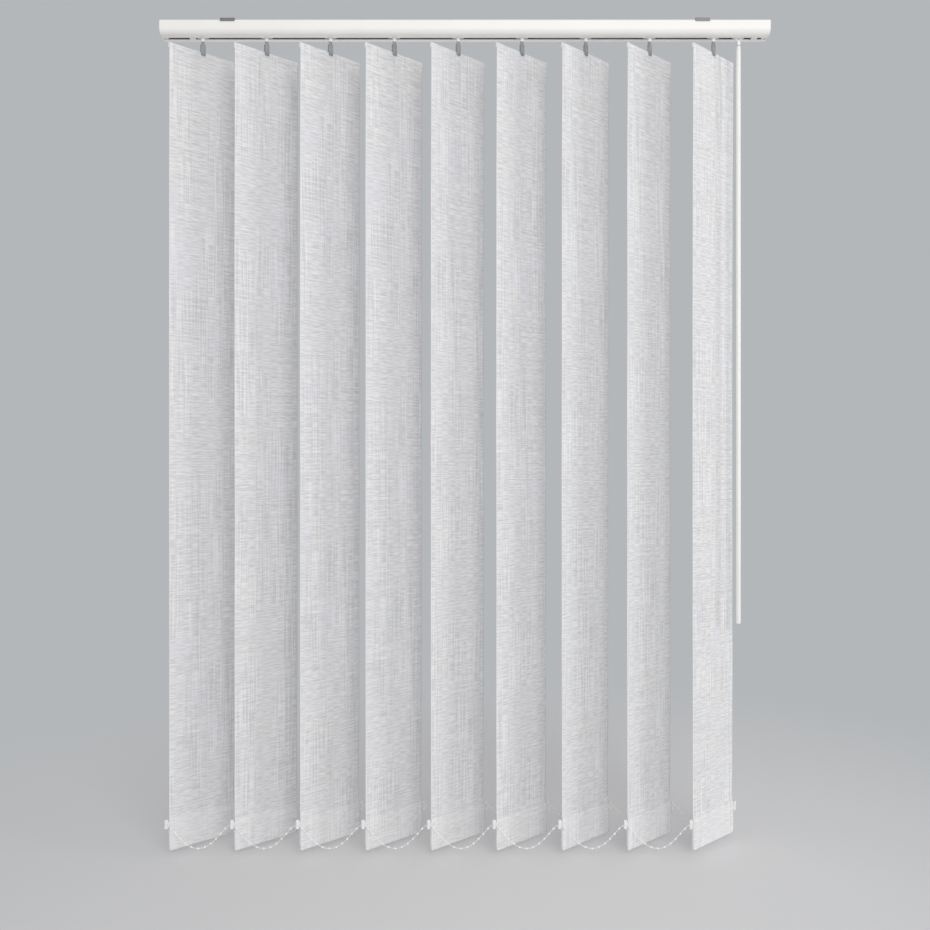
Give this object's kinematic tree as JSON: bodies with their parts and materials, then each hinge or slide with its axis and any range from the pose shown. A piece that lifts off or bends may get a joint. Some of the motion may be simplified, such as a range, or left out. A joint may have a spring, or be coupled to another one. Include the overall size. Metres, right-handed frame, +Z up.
{
  "type": "vertical blind",
  "caption": "Vertical blind: aluminium headrail on ceiling clips, fabric slats that turn and draw to one side, weighted hems joined by bead chains, tilt wand.",
  "frame": {"origin": "on the ceiling plane, midway between the two brackets' screw holes", "axes": "+X along the headrail to the right seen from the room, +Y away from the room to the window, +Z up"},
  "size_m": [1.06, 0.1028, 1.4353],
  "materials": {
    "rail": "extruded aluminium, cream-white powder coat, satin",
    "cap": "moulded cream-white plastic, satin gloss",
    "bracket": "dark grey plated spring steel",
    "rod": "extruded aluminium, mill finish",
    "carrier": "moulded white acetal, matte",
    "stem": "clear grey polycarbonate moulding, slightly cloudy",
    "hanger": "white plastic strip, matte",
    "fabric": "off-white stiffened polyester in a linen-look slub weave",
    "weight": "white plastic sleeve over a steel plate, matte",
    "chain": "white moulded plastic, glossy",
    "wand": "extruded cream-white plastic, satin gloss",
    "tip": "white moulded plastic, glossy"
  },
  "bodies": {
    "rail": {"headrail": "rail", "end_cap_left": "cap", "end_cap_right": "cap", "bracket_left": "bracket", "bracket_right": "bracket", "track_stops": "carrier", "carrier_1": "carrier"},
    "rod": {"tilt_rod": "rod"},
    "carriage_2": {"carrier_2": "carrier"},
    "carriage_3": {"carrier_3": "carrier"},
    "carriage_4": {"carrier_4": "carrier"},
    "carriage_5": {"carrier_5": "carrier"},
    "carriage_6": {"carrier_6": "carrier"},
    "carriage_7": {"carrier_7": "carrier"},
    "carriage_8": {"carrier_8": "carrier"},
    "carriage_9": {"carrier_9": "carrier", "wand_carrier": "carrier"},
    "vane_1": {"stem_1": "stem", "hanger_1": "hanger", "slat_1": "fabric", "weight_1": "weight"},
    "vane_2": {"stem_2": "stem", "hanger_2": "hanger", "slat_2": "fabric", "weight_2": "weight"},
    "vane_3": {"stem_3": "stem", "hanger_3": "hanger", "slat_3": "fabric", "weight_3": "weight"},
    "vane_4": {"stem_4": "stem", "hanger_4": "hanger", "slat_4": "fabric", "weight_4": "weight"},
    "vane_5": {"stem_5": "stem", "hanger_5": "hanger", "slat_5": "fabric", "weight_5": "weight"},
    "vane_6": {"stem_6": "stem", "hanger_6": "hanger", "slat_6": "fabric", "weight_6": "weight"},
    "vane_7": {"stem_7": "stem", "hanger_7": "hanger", "slat_7": "fabric", "weight_7": "weight"},
    "vane_8": {"stem_8": "stem", "hanger_8": "hanger", "slat_8": "fabric", "weight_8": "weight"},
    "vane_9": {"stem_9": "stem", "hanger_9": "hanger", "slat_9": "fabric", "weight_9": "weight"},
    "front_links": {"front_chain": "chain"},
    "rear_links": {"rear_chain": "chain"},
    "wand_swivel": {"wand_yoke": "wand"},
    "wand_hanger": {"wand_link": "wand"},
    "wand_rod": {"wand": "wand", "wand_tip": "tip"}
  },
  "joints": [
    {"name": "traverse", "type": "slide", "parent": "rail", "child": "carriage_9", "axis": [-1, 0, 0], "range_m": [0, 0.72], "deforming": ["front_chain", "rear_chain"]},
    {"name": "slide_8", "type": "slide", "parent": "rail", "child": "carriage_8", "axis": [-1, 0, 0], "range_m": [0, 0.63]},
    {"name": "slide_7", "type": "slide", "parent": "rail", "child": "carriage_7", "axis": [-1, 0, 0], "range_m": [0, 0.54]},
    {"name": "slide_6", "type": "slide", "parent": "rail", "child": "carriage_6", "axis": [-1, 0, 0], "range_m": [0, 0.45]},
    {"name": "slide_5", "type": "slide", "parent": "rail", "child": "carriage_5", "axis": [-1, 0, 0], "range_m": [0, 0.36]},
    {"name": "slide_4", "type": "slide", "parent": "rail", "child": "carriage_4", "axis": [-1, 0, 0], "range_m": [0, 0.27]},
    {"name": "slide_3", "type": "slide", "parent": "rail", "child": "carriage_3", "axis": [-1, 0, 0], "range_m": [0, 0.18]},
    {"name": "slide_2", "type": "slide", "parent": "rail", "child": "carriage_2", "axis": [-1, 0, 0], "range_m": [0, 0.09]},
    {"name": "tilt", "type": "hinge", "parent": "rail", "child": "vane_1", "pos_m": [-0.46, 0, -0.0513], "axis": [0, 0, 1], "range_deg": [-34.5, 127.5]},
    {"name": "turn_2", "type": "hinge", "parent": "carriage_2", "child": "vane_2", "pos_m": [-0.348, 0, -0.0513], "axis": [0, 0, 1], "range_deg": [-34.5, 127.5]},
    {"name": "turn_3", "type": "hinge", "parent": "carriage_3", "child": "vane_3", "pos_m": [-0.236, 0, -0.0513], "axis": [0, 0, 1], "range_deg": [-34.5, 127.5]},
    {"name": "turn_4", "type": "hinge", "parent": "carriage_4", "child": "vane_4", "pos_m": [-0.124, 0, -0.0513], "axis": [0, 0, 1], "range_deg": [-34.5, 127.5]},
    {"name": "turn_5", "type": "hinge", "parent": "carriage_5", "child": "vane_5", "pos_m": [-0.012, 0, -0.0513], "axis": [0, 0, 1], "range_deg": [-34.5, 127.5]},
    {"name": "turn_6", "type": "hinge", "parent": "carriage_6", "child": "vane_6", "pos_m": [0.1, 0, -0.0513], "axis": [0, 0, 1], "range_deg": [-34.5, 127.5]},
    {"name": "turn_7", "type": "hinge", "parent": "carriage_7", "child": "vane_7", "pos_m": [0.212, 0, -0.0513], "axis": [0, 0, 1], "range_deg": [-34.5, 127.5]},
    {"name": "turn_8", "type": "hinge", "parent": "carriage_8", "child": "vane_8", "pos_m": [0.324, 0, -0.0513], "axis": [0, 0, 1], "range_deg": [-34.5, 127.5]},
    {"name": "turn_9", "type": "hinge", "parent": "carriage_9", "child": "vane_9", "pos_m": [0.436, 0, -0.0513], "axis": [0, 0, 1], "range_deg": [-34.5, 127.5]},
    {"name": "front_chain_turn", "type": "hinge", "parent": "vane_1", "child": "front_links", "pos_m": [-0.50896, -0.04646, -1.389], "axis": [0, 0, 1], "range_deg": [-127.5, 34.5]},
    {"name": "rear_chain_turn", "type": "hinge", "parent": "vane_1", "child": "rear_links", "pos_m": [-0.41104, 0.04646, -1.389], "axis": [0, 0, 1], "range_deg": [-127.5, 34.5]},
    {"name": "rod_turn", "type": "hinge", "parent": "rail", "child": "rod", "pos_m": [0, 0.0102, -0.0107], "axis": [1, 0, 0], "range_deg": [-207, 765]},
    {"name": "wand_swing_out", "type": "hinge", "parent": "carriage_9", "child": "wand_swivel", "pos_m": [0.48, 0, -0.0306], "axis": [-1, 0, 0], "range_deg": [0, 60]},
    {"name": "wand_swing_side", "type": "hinge", "parent": "wand_swivel", "child": "wand_hanger", "pos_m": [0.48, 0, -0.0366], "axis": [0, -1, 0], "range_deg": [0, 30]},
    {"name": "wand_turn", "type": "hinge", "parent": "wand_hanger", "child": "wand_rod", "pos_m": [0.48, 0, -0.05], "axis": [0, 0, 1], "range_deg": [-207, 765]}
  ],
  "couplings": [
    {"joint": "slide_8", "follows": "traverse", "ratio": 0.875},
    {"joint": "slide_7", "follows": "traverse", "ratio": 0.75},
    {"joint": "slide_6", "follows": "traverse", "ratio": 0.625},
    {"joint": "slide_5", "follows": "traverse", "ratio": 0.5},
    {"joint": "slide_4", "follows": "traverse", "ratio": 0.375},
    {"joint": "slide_3", "follows": "traverse", "ratio": 0.25},
    {"joint": "slide_2", "follows": "traverse", "ratio": 0.125},
    {"joint": "turn_2", "follows": "tilt", "ratio": 1},
    {"joint": "turn_3", "follows": "tilt", "ratio": 1},
    {"joint": "turn_4", "follows": "tilt", "ratio": 1},
    {"joint": "turn_5", "follows": "tilt", "ratio": 1},
    {"joint": "turn_6", "follows": "tilt", "ratio": 1},
    {"joint": "turn_7", "follows": "tilt", "ratio": 1},
    {"joint": "turn_8", "follows": "tilt", "ratio": 1},
    {"joint": "turn_9", "follows": "tilt", "ratio": 1},
    {"joint": "front_chain_turn", "follows": "tilt", "ratio": -1},
    {"joint": "rear_chain_turn", "follows": "tilt", "ratio": -1},
    {"joint": "rod_turn", "follows": "tilt", "ratio": 6},
    {"joint": "wand_turn", "follows": "tilt", "ratio": 6}
  ]
}
